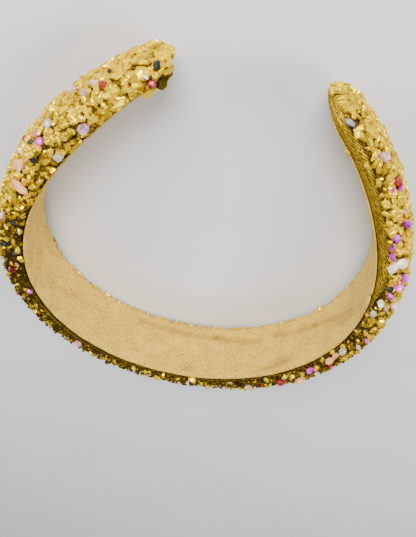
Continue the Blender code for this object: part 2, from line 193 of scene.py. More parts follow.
def outline_row(place, across):
    """Points round one section over the chips' tops, with the way round it and its distance along."""
    turn = max(abs(place) - STRAIGHT, 0.0) / CAP_ARC * math.pi / 2
    along = math.copysign(min(abs(place), STRAIGHT) + CAP_LENGTH * math.sin(turn), place)
    lining, body = (float(size_on_curve(column, along)) for column in (LINING_COLUMN, BODY_COLUMN))
    thickness = float(thickness_at(along))
    widest = WIDEST_SHARE * thickness
    flank = np.linspace(0.0, math.pi / 2, FLANK_POINTS, endpoint=False)
    flank_up = lining + (body - lining) * np.sin(flank)
    flank_out = widest - (widest - LINING_THICKNESS) * np.cos(flank)
    arch = np.linspace(0.0, math.pi, ARCH_POINTS)
    power = 2.0 / DOME_EXPONENT
    dome_up = body * np.sign(np.cos(arch)) * np.abs(np.cos(arch)) ** power
    dome_out = widest + (thickness - widest) * np.abs(np.sin(arch)) ** power
    up = np.concatenate([flank_up, dome_up, -flank_up[::-1]])
    out = np.concatenate([flank_out, dome_out, flank_out[::-1]])
    run = summed(np.ones(len(up)), np.hypot(np.diff(up), np.diff(out)))
    centre = CAP_CENTRE_SHARE * thickness
    up_here = np.interp(across * run[-1], run, up) * math.cos(turn)
    out_here = centre + (np.interp(across * run[-1], run, out) - centre) * math.cos(turn)
    return on_line(np.full(len(across), along), out_here, up_here), run[-1], along


# The lattice that every layer is measured from: the chips' tops and the way out of them.
lattice_place = np.linspace(-LATTICE_REACH, LATTICE_REACH, int(2 * REACH / LATTICE_SPACING) + 1)
lattice_across = np.linspace(0.0, 1.0, LATTICE_ACROSS)
lattice_rows = [outline_row(place, lattice_across) for place in lattice_place]
lattice = np.array([row[0] for row in lattice_rows])
lattice_run = np.array([row[1] for row in lattice_rows])
lattice_along = np.array([row[2] for row in lattice_rows])
lattice_out = np.cross(np.gradient(lattice, axis=1), np.gradient(lattice, axis=0))
lattice_out /= np.linalg.norm(lattice_out, axis=-1, keepdims=True)
middle_row = lattice_out[len(lattice) // 2, LATTICE_ACROSS // 2]
lattice_out *= -math.copysign(1.0, middle_row[1])


def on_body(place, across, depth):
    """Points at a depth under the chips' tops, with the way out at each."""
    i = (np.asarray(place) / LATTICE_REACH + 1.0) / 2.0 * (len(lattice) - 1)
    j = np.clip(np.asarray(across), 0.0, 1.0) * (LATTICE_ACROSS - 1)
    i0 = np.clip(i.astype(int), 0, len(lattice) - 2)
    j0 = np.clip(j.astype(int), 0, LATTICE_ACROSS - 2)
    s = np.clip(i - i0, 0.0, 1.0)[..., None]
    t = (j - j0)[..., None]

    def blended(grid):
        near = grid[i0, j0] * (1 - t) + grid[i0, j0 + 1] * t
        far = grid[i0 + 1, j0] * (1 - t) + grid[i0 + 1, j0 + 1] * t
        return near * (1 - s) + far * s

    out = blended(lattice_out)
    out /= np.linalg.norm(out, axis=-1, keepdims=True)
    return blended(lattice) - out * np.asarray(depth)[..., None], out


def run_at(place):
    """The way round a section, from the lining's upper edge to its lower edge."""
    return np.interp(place, lattice_place, lattice_run)


def bare_at(place, across):
    """The width of bare cloth beside the lining, above it or below it."""
    along = np.interp(place, lattice_place, lattice_along)
    above_left, above_right, below_left, below_right = (
        np.interp(np.abs(along) / HALF_LENGTH, BARE[:, 0], BARE[:, i]) for i in (1, 2, 3, 4)
    )
    above = np.where(along < 0, above_left, above_right)
    below = np.where(along < 0, below_left, below_right)
    return np.where(across < 0.5, above, below)


def smooth_step(value):
    """A smooth rise from 0 to 1 as the value goes from 0 to 1."""
    value = np.clip(value, 0.0, 1.0)
    return value * value * (3.0 - 2.0 * value)


def crust_depth(place, across):
    """The depth of the cloth under the chips' tops: it comes up to them beside the lining."""
    edge = np.minimum(across, 1.0 - across) * run_at(place)
    bare = bare_at(place, across)
    rim = CRUST_RIM * smooth_step(edge / bare)
    return rim + (CRUST_THICKNESS - CRUST_RIM) * smooth_step((edge - bare) / RIM_RAMP)


def ripple(place, across_length, wavelengths, seed):
    """A smooth height from -1 to 1, made of crossing waves of those lengths along and across."""
    draw = np.random.default_rng(seed)
    total = 0.0
    for along_wave, across_wave in wavelengths:
        turn, shift = draw.uniform(-0.5, 0.5), draw.uniform(0.0, math.tau)
        total = total + np.sin(math.tau * (place / along_wave + across_length / across_wave + turn) + shift)
    return total / len(wavelengths)


def mesh_piece(name, points, faces, material, smooth=True, maps=None):
    """A finished piece from points and faces. "maps" is a UV pair for each point."""
    mesh = bpy.data.meshes.new(name)
    mesh.from_pydata([tuple(point) for point in points], [], faces)
    if maps is not None:
        corners = np.empty(len(mesh.loops), dtype=np.int64)
        mesh.loops.foreach_get("vertex_index", corners)
        layer = mesh.uv_layers.new(name="cloth")
        layer.uv.foreach_set("vector", np.asarray(maps, dtype=np.float32)[corners].ravel())
    mesh.materials.append(material)
    if smooth:
        mesh.shade_smooth()
    piece = bpy.data.objects.new(name, mesh)
    bpy.context.collection.objects.link(piece)
    return piece


def grid_faces(rows, columns):
    """Quads over a grid of points that is stored row by row."""
    corner = np.arange(rows - 1)[:, None] * columns + np.arange(columns - 1)[None]
    quads = np.stack([corner, corner + 1, corner + columns + 1, corner + columns], axis=-1)
    return quads.reshape(-1, 4).tolist()


def set_values(piece, name, values):
    """A value at each point of a piece, which its material reads by name."""
    layer = piece.data.attributes.new(name, "FLOAT", "POINT")
    layer.data.foreach_set("value", np.ravel(values).astype(np.float32))


def close_skin(piece):
    """Merges a swept skin along its seam, closes its two ends and turns its faces outwards."""
    bpy.ops.object.select_all(action="DESELECT")
    piece.select_set(True)
    bpy.context.view_layer.objects.active = piece
    bpy.ops.object.mode_set(mode="EDIT")
    bpy.ops.mesh.select_all(action="SELECT")
    bpy.ops.mesh.remove_doubles(threshold=MERGE_DISTANCE)
    bpy.ops.mesh.select_all(action="DESELECT")
    bpy.ops.mesh.select_mode(type="EDGE")
    bpy.ops.mesh.select_non_manifold()
    bpy.ops.mesh.edge_face_add()
    bpy.ops.mesh.select_all(action="SELECT")
    bpy.ops.mesh.normals_make_consistent(inside=False)
    bpy.ops.object.mode_set(mode="OBJECT")


def new_node(nodes, kind, **values):
    """A shader node with values for its sockets, whose names have _ for a space."""
    node = nodes.new("ShaderNode" + kind)
    for socket, value in values.items():
        node.inputs[socket.replace("_", " ")].default_value = value
    return node


def new_finish(name):
    """A new material, with its nodes, its links and its main shader."""
    material = bpy.data.materials.new(name)
    material.use_nodes = True
    nodes = material.node_tree.nodes
    return material, nodes, material.node_tree.links, nodes["Principled BSDF"]


def mixed(nodes, links, factor, first, second):
    """The mix of two outputs by a factor, which is the second one's share."""
    mix = new_node(nodes, "Mix", Factor=factor)
    links.new(first, mix.inputs["A"])
    links.new(second, mix.inputs["B"])
    return mix.outputs["Result"]


def colour_ramp(nodes, stops):
    """A colour ramp from (position, colour) stops."""
    ramp = nodes.new("ShaderNodeValToRGB")
    elements = ramp.color_ramp.elements
    while len(elements) < len(stops):
        elements.new(0.5)
    for element, (position, colour) in zip(elements, stops):
        element.position = position
        element.color = (*colour, 1.0)
    return ramp


cloth_gold, nodes, links, shader = new_finish("gold_cloth")
cloth_map = nodes.new("ShaderNodeUVMap")
cloth_map.uv_map = "cloth"
rib_scale = math.tau / WAVE_TURN / RIB_PITCH_CM
slant = new_node(nodes, "Mapping", Rotation=(0.0, 0.0, RIB_SLANT))
ribs = new_node(nodes, "TexWave", Scale=rib_scale, Distortion=2.2, Detail=3.0, Detail_Scale=2.2)
threads = new_node(nodes, "TexVoronoi", Scale=17.0)
sheen = new_node(nodes, "TexNoise", Scale=3.5, Detail=6.0)
pulled = new_node(nodes, "Mapping", Scale=(1.1, 9.0, 1.0))
streaks = new_node(nodes, "TexNoise", Scale=1.0, Detail=3.0)
for texture in (ribs, threads):
    links.new(slant.outputs["Vector"], texture.inputs["Vector"])
for mapped in (slant, sheen, pulled):
    links.new(cloth_map.outputs["UV"], mapped.inputs["Vector"])
links.new(pulled.outputs["Vector"], streaks.inputs["Vector"])
# The cloth's colour carries painted glints from its threads' cells and a painted sheen, over its rib pattern.
glint = mixed(nodes, links, 0.58, ribs.outputs["Fac"], threads.outputs["Color"])
ribs_glint_and_sheen = mixed(nodes, links, 0.30, glint, sheen.outputs["Fac"])
pulled_tone = mixed(nodes, links, 0.30, ribs_glint_and_sheen, streaks.outputs["Fac"])
gold_threads = colour_ramp(
    nodes,
    (
        (0.32, (0.038, 0.023, 0.001)),
        (0.44, (0.20, 0.120, 0.003)),
        (0.56, (0.46, 0.290, 0.012)),
        (0.70, (0.72, 0.490, 0.065)),
    ),
)
links.new(pulled_tone, gold_threads.inputs["Fac"])
# Painted shade in the groove beside the lining, which darkens the cloth's colour there.
groove_painted_shade = nodes.new("ShaderNodeAttribute")
groove_painted_shade.attribute_name = "groove_painted_shade"
groove_shade_mix = nodes.new("ShaderNodeMix")
groove_shade_mix.data_type = "RGBA"
groove_shade_mix.inputs["B"].default_value = (0.012, 0.008, 0.003, 1.0)
links.new(groove_painted_shade.outputs["Fac"], groove_shade_mix.inputs["Factor"])
links.new(gold_threads.outputs["Color"], groove_shade_mix.inputs["A"])
links.new(groove_shade_mix.outputs["Result"], shader.inputs["Base Color"])
shader.inputs["Metallic"].default_value = 0.75
shader.inputs["Specular Tint"].default_value = (1.0, 0.75, 0.10, 1.0)
cloth_rough = new_node(nodes, "MapRange", To_Min=0.62, To_Max=0.42)
links.new(threads.outputs["Color"], cloth_rough.inputs["Value"])
links.new(cloth_rough.outputs["Result"], shader.inputs["Roughness"])
rib_bump = new_node(nodes, "Bump", Strength=0.9, Distance=0.00018)
links.new(glint, rib_bump.inputs["Height"])
links.new(rib_bump.outputs["Normal"], shader.inputs["Normal"])

cloth_place = np.linspace(-REACH, REACH, CLOTH_ROWS) * CLOTH_REACH_SHARE
flank_across = np.linspace(0.0, CLOTH_FLANK, FLANK_COLUMNS)
back_across = np.linspace(CLOTH_FLANK, 1.0 - CLOTH_FLANK, BACK_COLUMNS)[1:-1]
cloth_across = np.concatenate([flank_across, back_across, 1.0 - flank_across[::-1]])
places, acrosses = np.meshgrid(cloth_place, cloth_across, indexing="ij")
around = acrosses * run_at(places)
creases = CREASE_DEPTH * (1.0 + ripple(places, around, CREASE_WAVES, CREASE_SEED))
cloth_depth = crust_depth(places, acrosses) + GAP + creases * smooth_step(around / CREASE_START)
cloth_points, _ = on_body(places, acrosses, cloth_depth)
inner_shares = np.linspace(0.0, 1.0, INNER_COLUMNS)[1:-1]
inner_shares = inner_shares[None, :, None]
cloth_inner = cloth_points[:, -1:] * (1 - inner_shares) + cloth_points[:, :1] * inner_shares
cloth_rings = np.concatenate([cloth_points, cloth_inner, cloth_points[:, :1, :]], axis=1)
ring_count = cloth_rings.shape[1]
# The groove's painted shade at each point: strong round the crown and on the -X arm, fainter on the +X arm.
from_lining = np.minimum(around, run_at(places) - around)
groove_shade_strength = np.interp(cloth_place, GROOVE_FADE_PLACES, GROOVE_SHADE_STRENGTHS)[:, None]
groove_shade_width = np.interp(cloth_place, GROOVE_PLACES, GROOVE_SHADE_WIDTHS)[:, None]
groove_shade_values = np.ones((CLOTH_ROWS, ring_count))
groove_shade_values[:, : len(cloth_across)] = groove_shade_strength * np.exp(-((from_lining / groove_shade_width) ** 2))
cloth_maps = np.zeros((CLOTH_ROWS, ring_count, 2))
cloth_maps[..., 0] = cloth_place[:, None] * CM_PER_M
cloth_maps[:, : len(cloth_across), 1] = around * CM_PER_M
cloth_maps[:, len(cloth_across):, 1] = np.linspace(1.0, 0.0, ring_count - len(cloth_across)) * LINING_WIDTH_CM
cloth_faces = grid_faces(CLOTH_ROWS, ring_count)
cloth_points = cloth_rings.reshape(-1, 3)
cloth_maps = cloth_maps.reshape(-1, 2)
gold_cloth = mesh_piece("gold_cloth_cover", cloth_points, cloth_faces, cloth_gold, maps=cloth_maps)
set_values(gold_cloth, "groove_painted_shade", groove_shade_values)
close_skin(gold_cloth)
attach(gold_cloth, "root")
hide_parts("cloth_band")


# The suede lining
# A 1 mm strip of beige suede glued down the inner face over the edges of the gold cloth, with round cut ends.
# It has the soft creases of a strip bent round a hoop, with painted shade along them, a few darker smudges,
# and a nick in its upper edge.
LINING_END = HALF_LENGTH - 0.0032
# Each round end: its length, its share of the rows, and how far round it goes before a short flat edge.
LINING_END_LENGTH = 0.0062
LINING_END_SHARE = 0.06
LINING_END_TURN = 0.985
LINING_ROWS = 620
LINING_COLUMNS = 41
LINING_DIP = 0.00022
LINING_WAVE = 0.00007
LINING_WAVES = ((0.043, 0.019), (0.016, -0.031), (0.027, 0.012))
LINING_SEED = 5
# How far the cut edges wander, the wavelengths along the strip, and their seeds.
UPPER_WANDER = 0.00012
UPPER_WAVES = ((0.031, 1.0), (0.017, 1.0), (0.0071, 1.0))
UPPER_SEED = 8
LOWER_WANDER = 0.00030
LOWER_WAVES = ((0.023, 1.0), (0.0131, 1.0), (0.0093, 1.0))
LOWER_SEED = 9
# The strip's cut edges are pressed thin, and more so on the arms.
PRESSED_DEPTH = 0.00055
PRESSED_WIDTH = 0.0009
PRESSED_PLACES = (0.100, 0.125)
PRESSED_SHARES = (0.35, 1.0)
LINING_SHARP_ANGLE = math.radians(50.0)
# How far into a tip's cap the lining may reach, as a share of the cap.
DEEPEST_IN_CAP = 0.999
# Each crease runs from one point to another, as along and up, with the half-width and strength of its dip and
# its painted shade.
CREASES = (
    (-0.0165, -0.0088, 0.0175, -0.0078, 0.0015, 0.55),
    (0.0175, -0.0078, 0.0385, -0.0048, 0.0016, 0.65),
    (0.0455, -0.0068, 0.0655, -0.0048, 0.0015, 0.60),
    (0.0655, -0.0048, 0.0890, 0.0018, 0.0017, 0.60),
    (0.0720, 0.0015, 0.1005, 0.0065, 0.0016, 0.35),
    (-0.0650, 0.0030, -0.0420, -0.0030, 0.0016, 0.30),
)
# Each smudge as its along, up, half-length, half-width and strength.
SMUDGES = (
    (0.0090, 0.0095, 0.0030, 0.0016, 0.6),
    (0.0510, 0.0078, 0.0040, 0.0022, 0.8),
    (0.0440, 0.0098, 0.0060, 0.0012, 0.5),
    (-0.0300, 0.0040, 0.0060, 0.0030, 0.2),
    (0.0895, -0.0030, 0.0070, 0.0022, 0.3),
)
NICK_ALONG = 0.1065
NICK_HALF_LENGTH = 0.0013
NICK_DEPTH = 0.0008

suede, nodes, links, shader = new_finish("beige_suede")
nap_map = nodes.new("ShaderNodeUVMap")
nap_map.uv_map = "cloth"
brushed = new_node(nodes, "Mapping", Scale=(1.7, 0.6, 1.0))
nap = new_node(nodes, "TexNoise", Scale=13.0, Detail=6.0, Roughness=0.65)
patches = new_node(nodes, "TexNoise", Scale=1.6, Detail=5.0)
crease_shade_and_smudges = nodes.new("ShaderNodeAttribute")
crease_shade_and_smudges.attribute_name = "crease_shade_and_smudges"
links.new(nap_map.outputs["UV"], brushed.inputs["Vector"])
links.new(brushed.outputs["Vector"], nap.inputs["Vector"])
links.new(nap_map.outputs["UV"], patches.inputs["Vector"])
nap_tone = mixed(nodes, links, 0.22, nap.outputs["Fac"], patches.outputs["Fac"])
suede_tones = colour_ramp(
    nodes,
    (
        (0.40, (0.40, 0.245, 0.026)),
        (0.50, (0.66, 0.420, 0.052)),
        (0.60, (0.86, 0.575, 0.090)),
    ),
)
links.new(nap_tone, suede_tones.inputs["Fac"])
# Painted shade along the creases, and the darker smudges, darken the suede's colour.
crease_shade_and_smudge_mix = nodes.new("ShaderNodeMix")
crease_shade_and_smudge_mix.data_type = "RGBA"
crease_shade_and_smudge_mix.blend_type = "MULTIPLY"
crease_shade_and_smudge_mix.inputs["B"].default_value = (0.50, 0.46, 0.42, 1.0)
links.new(crease_shade_and_smudges.outputs["Fac"], crease_shade_and_smudge_mix.inputs["Factor"])
links.new(suede_tones.outputs["Color"], crease_shade_and_smudge_mix.inputs["A"])
links.new(crease_shade_and_smudge_mix.outputs["Result"], shader.inputs["Base Color"])
shader.inputs["Roughness"].default_value = 0.95
shader.inputs["Specular IOR Level"].default_value = 0.15
shader.inputs["Sheen Weight"].default_value = 0.12
shader.inputs["Sheen Roughness"].default_value = 0.5
shader.inputs["Sheen Tint"].default_value = (1.0, 0.88, 0.66, 1.0)
nap_bump = new_node(nodes, "Bump", Strength=0.45, Distance=0.00010)
links.new(nap.outputs["Fac"], nap_bump.inputs["Height"])
links.new(nap_bump.outputs["Normal"], shader.inputs["Normal"])


def crease_shade_and_smudges_at(along, up):
    """How dark the suede is at each point, from 0 to 1: painted shade along its creases, and darker smudges.
    """
    total = np.zeros_like(along)
    for start_along, start_up, end_along, end_up, half_width, strength in CREASES:
        way = np.array((end_along - start_along, end_up - start_up))
        share = ((along - start_along) * way[0] + (up - start_up) * way[1]) / (way @ way)
        held = np.clip(share, 0.0, 1.0)
        off = np.hypot(along - start_along - held * way[0], up - start_up - held * way[1])
        total += strength * np.exp(-((off / half_width) ** 2))
    for at_along, at_up, half_length, half_width, strength in SMUDGES:
        off = np.hypot((along - at_along) / half_length, (up - at_up) / half_width)
        total += strength * np.exp(-(off**2))
    return np.clip(total, 0.0, 1.0)


def lining_face(out):
    """One face of the lining at a distance out, with its along and up at each point."""
    straight = LINING_END - LINING_END_LENGTH
    body_share = np.linspace(-1.0, 1.0, LINING_ROWS)
    past_straight = (np.abs(body_share) - (1.0 - LINING_END_SHARE)) / LINING_END_SHARE
    turn = np.clip(past_straight, 0.0, 1.0) * math.pi / 2 * LINING_END_TURN
    along = np.minimum(np.abs(body_share) / (1.0 - LINING_END_SHARE), 1.0) * straight
    along = np.sign(body_share) * (along + LINING_END_LENGTH * np.sin(turn))
    upper_wander = UPPER_WANDER * ripple(along, 0.0, UPPER_WAVES, UPPER_SEED)
    lower_wander = LOWER_WANDER * ripple(along, 0.0, LOWER_WAVES, LOWER_SEED)
    nick = NICK_DEPTH * np.exp(-(((along - NICK_ALONG) / NICK_HALF_LENGTH) ** 4))
    half = size_on_curve(LINING_COLUMN, along)
    upper_half = (half + upper_wander) * np.cos(turn) - nick
    lower_half = (half + lower_wander) * np.cos(turn)
    across = np.sin(np.linspace(math.pi / 2, -math.pi / 2, LINING_COLUMNS))[None]
    up = np.where(across > 0, upper_half[:, None] * across, lower_half[:, None] * across)
    along = np.repeat(along[:, None], LINING_COLUMNS, axis=1)
    centre = CAP_CENTRE_SHARE * thickness_at(along)
    cap = CAP_LENGTH - CRUST_THICKNESS - GAP
    into_cap = np.clip((np.abs(along) - STRAIGHT) / cap, 0.0, DEEPEST_IN_CAP)
    shrink = np.sqrt(1.0 - into_cap**2)
    if out < LINING_THICKNESS / 2:
        from_edge = np.maximum(np.minimum(upper_half, lower_half)[:, None] - np.abs(up), 0.0)
        pressed = PRESSED_DEPTH * np.interp(np.abs(along), PRESSED_PLACES, PRESSED_SHARES)
        pressed *= np.exp(-((from_edge / PRESSED_WIDTH) ** 2))
        waves = LINING_WAVE * ripple(along, up, LINING_WAVES, LINING_SEED)
        out = out + LINING_DIP * crease_shade_and_smudges_at(along, up) + waves + pressed
    return on_line(along, centre + (out - centre) * shrink, up * shrink), along, up


inner_face, inner_along, inner_up = lining_face(0.0)
outer_face, outer_along, outer_up = lining_face(LINING_THICKNESS)
inner_map = np.stack([inner_along, inner_up], axis=-1)
outer_map = np.stack([outer_along, outer_up], axis=-1)
lining_rings = np.concatenate([inner_face, outer_face[:, ::-1], inner_face[:, :1]], axis=1)
lining_maps = np.concatenate([inner_map, outer_map[:, ::-1], inner_map[:, :1]], axis=1) * CM_PER_M
lining_faces = grid_faces(LINING_ROWS, lining_rings.shape[1])
lining_points = lining_rings.reshape(-1, 3)
lining_maps = lining_maps.reshape(-1, 2)
suede_strip = mesh_piece("suede_strip", lining_points, lining_faces, suede, maps=lining_maps)
set_values(suede_strip, "crease_shade_and_smudges", crease_shade_and_smudges_at(lining_maps[:, 0] / CM_PER_M, lining_maps[:, 1] / CM_PER_M))
close_skin(suede_strip)
bpy.ops.object.shade_smooth_by_angle(angle=LINING_SHARP_ANGLE)
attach(suede_strip, "root")
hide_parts("suede_lining")


# The gold chips
# Crushed gold-coated glass in three sizes, pressed into glue over the outside and the tips of the band.
# A dark bed of glue and gold dust shows between them, its darkness partly its own and partly painted shade.
# They are coarse on the arms and fine round the crown.

# The bed: its depth, roughness and speckle, how far its edges wander, and the shares over which it rises from
# them and over which its painted shade beside them fades.
BED_DEPTH = 0.0014
BED_ROUGHNESS = 0.00022
BED_SPECKLE = 0.34
BED_WANDER = 0.0004
BED_EDGE_SHARE = 0.03
BED_SHADE_SHARE = 0.06
BED_ROWS = 700
BED_COLUMNS = 90
BED_UNDER_STEP = 8
WIDEST_RIM_SHARE = 0.49
BED_REACH_SHARE = 0.9990
BED_SEED = 17
# The least depth of a layer under the chips' tops, and of a chip over the cloth.
LEAST_DEPTH = 0.0001
# The chips' shapes: the flat cuts that break each from a cube, and its width and height for a length of 1.05.
CHIP_TEMPLATES = 10
COARSE_CUTS, MIDDLE_CUTS, FINE_CUTS = 14, 7, 4
CUT_REACH = (0.38, 0.46)
CHIP_LENGTH = 1.05
CHIP_WIDTHS = (0.74, 0.95)
CHIP_HEIGHTS = (0.52, 0.70)
CHIP_MERGE = 0.06
COARSE_SHARP_ANGLE = math.radians(58.0)
SMALL_SHARP_ANGLE = math.radians(25.0)
# The spread of the copies' size, width and height.
SIZE_SPREAD = (0.85, 1.15)
WIDTH_SPREAD = (0.75, 1.0)
HEIGHT_SPREAD = (0.8, 1.2)
# The chips are strewn up to the tips' ends, and past both edges by this share of a spacing.
STREWN_REACH = REACH * 0.998
FARTHEST_PLACE = REACH * 0.999
SPILL = 0.1
# The chips beside the lining on the -X arm are darker, as painted shade in the recess there.
EDGE_SHADE_PLACES = (-0.165, -0.140, -0.085, -0.060)
EDGE_SHADE_SHARES = (0.0, 0.36, 0.20, 0.0)
EDGE_SHADE_WIDTH = 0.0130
# Where the crown ends and the arms begin, and where the chips beside the bare cloth end.
ARM_START = 0.070
ARM_RAMP = 0.050
CLOTH_SIDE_START = 0.0010
CLOTH_SIDE_RAMP = 0.0050
# How far short of the bare cloth the chips stop above and below, as a share of their size, and its spread.
SHORT_ABOVE = 0.20
SHORT_BELOW = -0.15
SHORT_SPREAD = 0.25
# Round the crown most chips are dark and a few are bright, partly their own tone and partly painted shade:
# the power of the draw of their brightness.
CROWN_DARK_POWER = 3.2
STONE_CLEARANCE = 0.30
CHIP_STEP = 0.0004
LEAN_SPREAD = 0.6
# How far the chips lie combed along the band: 0 for every way, more for mostly along it.
CHIP_COMBING = 0.5
# The chips' size along the band, as a share of their size on the -X arm.
CHIP_GROWTH = np.array((
    (-0.185, 1.00),
    (-0.135, 0.92),
    (-0.105, 0.72),
    (-0.070, 0.66),
    (0.000, 0.62),
    (0.070, 0.66),
    (0.105, 0.76),
    (0.125, 0.90),
    (0.178, 0.95),
    (0.189, 0.60),
))
# How far a chip may stand over the chips' common level at places along the band.
HIGHEST_PLACES = (-0.168, -0.150, 0.155, 0.172)
HIGHEST_CHIPS = (0.0001, 0.0007, 0.0007, 0.0004)
# The chips lie flatter at the tips: their lean as a share of the lean along the band.
FLAT_PLACES = (-0.168, -0.152, 0.160, 0.178)
FLAT_SHARES = (0.35, 1.0, 1.0, 0.6)
# A chip's half thickness, as a share of its size.
CHIP_HALF_THICKNESS = 0.36
# Where the dome begins across the band, and the chips' size on it.
DOME_SHARE = 0.19
DOME_BLEND = 0.09
DOME_GROWTH = 0.88
# The largest chips that stand out on the near side, each with its along, across, length and tone. The
# darkest, near the -X tip's end, are painted shade standing for chips in shade there.
STANDING_CHIPS = (
    (-0.1762, 0.008, 0.0048, 0.95),
    (-0.1798, 0.010, 0.0046, 0.04),
    (-0.1815, 0.018, 0.0042, 0.02),
    (-0.1830, 0.048, 0.0034, 0.10),
    (-0.1841, 0.130, 0.0030, 0.60),
    (-0.1695, 0.194, 0.0030, 0.95),
    (-0.1680, 0.110, 0.0030, 0.90),
    (-0.1584, 0.136, 0.0032, 0.90),
    (-0.1416, 0.102, 0.0032, 0.90),
    (-0.1353, 0.137, 0.0032, 1.00),
    (-0.1327, 0.051, 0.0020, 0.70),
    (-0.1289, 0.053, 0.0016, 0.80),
    (-0.1128, 0.094, 0.0018, 0.85),
    (-0.0920, 0.062, 0.0030, 0.95),
    (-0.0871, 0.042, 0.0026, 0.90),
    (-0.0320, 0.090, 0.0015, 0.95),
    (-0.0304, 0.100, 0.0019, 0.80),
    (-0.0255, 0.060, 0.0014, 0.60),
    (-0.0220, 0.055, 0.0015, 0.75),
    (-0.0137, 0.050, 0.0020, 0.90),
    (-0.0086, 0.048, 0.0018, 0.85),
    (-0.0070, 0.038, 0.0015, 0.85),
    (-0.0036, 0.080, 0.0026, 1.00),
    (0.0049, 0.040, 0.0017, 0.80),
    (0.0108, 0.030, 0.0030, 1.00),
    (0.0146, 0.055, 0.0014, 0.85),
    (0.0305, 0.156, 0.0016, 0.90),
    (0.0350, 0.121, 0.0018, 0.90),
    (0.0413, 0.115, 0.0020, 0.95),
    (0.0424, 0.040, 0.0022, 0.95),
    (0.0499, 0.050, 0.0026, 1.00),
    (0.0529, 0.065, 0.0024, 0.95),
    (0.0575, 0.071, 0.0022, 0.90),
    (0.0646, 0.066, 0.0026, 1.00),
    (0.0689, 0.030, 0.0020, 0.90),
    (0.0745, 0.025, 0.0022, 0.95),
    (0.0763, 0.126, 0.0022, 0.85),
    (0.0805, 0.038, 0.0024, 0.95),
    (0.0806, 0.122, 0.0020, 0.85),
    (0.0917, 0.153, 0.0026, 0.90),
    (0.0994, 0.161, 0.0028, 0.90),
    (0.1642, 0.155, 0.0023, 0.95),
    (0.1681, 0.010, 0.0019, 0.80),
    (0.1745, 0.214, 0.0026, 1.00),
)
# They stand out furthest near the -X tip: their lift as a share of their length at places along the band.
LIFT_PLACES = (-0.1840, -0.1825, -0.1790, -0.1750)
LIFT_SHARES = (0.0, 0.14, 0.28, 0.08)
STANDING_SHAPE = (0.98, 0.78, 0.95)
STANDING_TILT = 0.15
STANDING_COMBING = 2.5
# The chips sit deeper round the tips' ends.
CAP_SINK = 0.0004
# The small chips past the lining's lower edge: the ranges of their along, length, drop, out and tone.
RIM_CHIPS = 240
RIM_ALONG = (-0.078, 0.098)
RIM_LENGTHS = (0.0005, 0.0011)
RIM_DROPS = (0.0001, 0.0006)
RIM_OUTS = (-0.0003, 0.0005)
RIM_TONES = (0.75, 1.1)
RIM_TILT = 0.9
RIM_SEED = 61

stone_nodes = sorted(name for name in frame["nodes"] if "_stone_" in name)
# Each large stone's centre, its own axes and its reach along each, which the chips keep clear of.
stone_frames = []
for name in stone_nodes:
    corners = np.array([vertex.co for vertex in frame["nodes"][name].data.vertices])
    centre = (corners.max(axis=0) + corners.min(axis=0)) / 2
    _, _, axes = np.linalg.svd(corners - corners.mean(axis=0), full_matrices=False)
    reach = np.abs((corners - centre) @ axes.T).max(axis=0)
    stone_frames.append((centre, axes, reach))

# Fine grain, which the chips and the stones have at their own scale: a mask of small specks and its bump.
fine_grain = bpy.data.node_groups.new("fine_grain", "ShaderNodeTree")
for socket, value in (("Scale", 1000.0), ("Strength", 0.2), ("Height", 0.0001)):
    grain_socket = fine_grain.interface.new_socket(socket, in_out="INPUT", socket_type="NodeSocketFloat")
    grain_socket.default_value = value
fine_grain.interface.new_socket("Mask", in_out="OUTPUT", socket_type="NodeSocketFloat")
fine_grain.interface.new_socket("Normal", in_out="OUTPUT", socket_type="NodeSocketVector")
grain_in = fine_grain.nodes.new("NodeGroupInput")
grain_out = fine_grain.nodes.new("NodeGroupOutput")
grain_place = fine_grain.nodes.new("ShaderNodeTexCoord")
grain_noise = new_node(fine_grain.nodes, "TexNoise", Detail=4.0)
grain_bump = fine_grain.nodes.new("ShaderNodeBump")
for start, end in (
    (grain_place.outputs["Object"], grain_noise.inputs["Vector"]),
    (grain_in.outputs["Scale"], grain_noise.inputs["Scale"]),
    (grain_noise.outputs["Fac"], grain_bump.inputs["Height"]),
    (grain_in.outputs["Strength"], grain_bump.inputs["Strength"]),
    (grain_in.outputs["Height"], grain_bump.inputs["Distance"]),
    (grain_noise.outputs["Fac"], grain_out.inputs["Mask"]),
    (grain_bump.outputs["Normal"], grain_out.inputs["Normal"]),
):
    fine_grain.links.new(start, end)


def place_grain(nodes, scale, strength, height):
    """The fine grain in a material, at its own scale and depth."""
    grain = nodes.new("ShaderNodeGroup")
    grain.node_tree = fine_grain
    grain.inputs["Scale"].default_value = scale
    grain.inputs["Strength"].default_value = strength
    grain.inputs["Height"].default_value = height
    return grain


chip_gold, nodes, links, shader = new_finish("gold_chips")
tone = nodes.new("ShaderNodeAttribute")
tone.attribute_name = "tone"
chip_grain = place_grain(nodes, 2200.0, 0.30, 0.00005)
flecked = mixed(nodes, links, 0.20, tone.outputs["Fac"], chip_grain.outputs["Mask"])
chip_tones = colour_ramp(
    nodes,
    (
        (0.10, (0.040, 0.022, 0.001)),
        (0.30, (0.29, 0.182, 0.002)),
        (0.52, (0.80, 0.525, 0.003)),
        (0.88, (1.00, 0.740, 0.010)),
    ),
)
links.new(flecked, chip_tones.inputs["Fac"])
links.new(chip_tones.outputs["Color"], shader.inputs["Base Color"])
chip_polish = new_node(nodes, "MapRange", To_Min=0.50, To_Max=0.32)
links.new(flecked, chip_polish.inputs["Value"])
links.new(chip_polish.outputs["Result"], shader.inputs["Roughness"])
links.new(chip_grain.outputs["Normal"], shader.inputs["Normal"])
shader.inputs["Metallic"].default_value = 0.72
shader.inputs["Specular Tint"].default_value = (1.0, 0.80, 0.10, 1.0)


def cap_share(place):
    """How far a section is drawn in at each place, from 1 along the band to 0 at the tip's end."""
    return np.cos(np.clip((np.abs(place) - STRAIGHT) / CAP_ARC, 0.0, 1.0) * math.pi / 2)


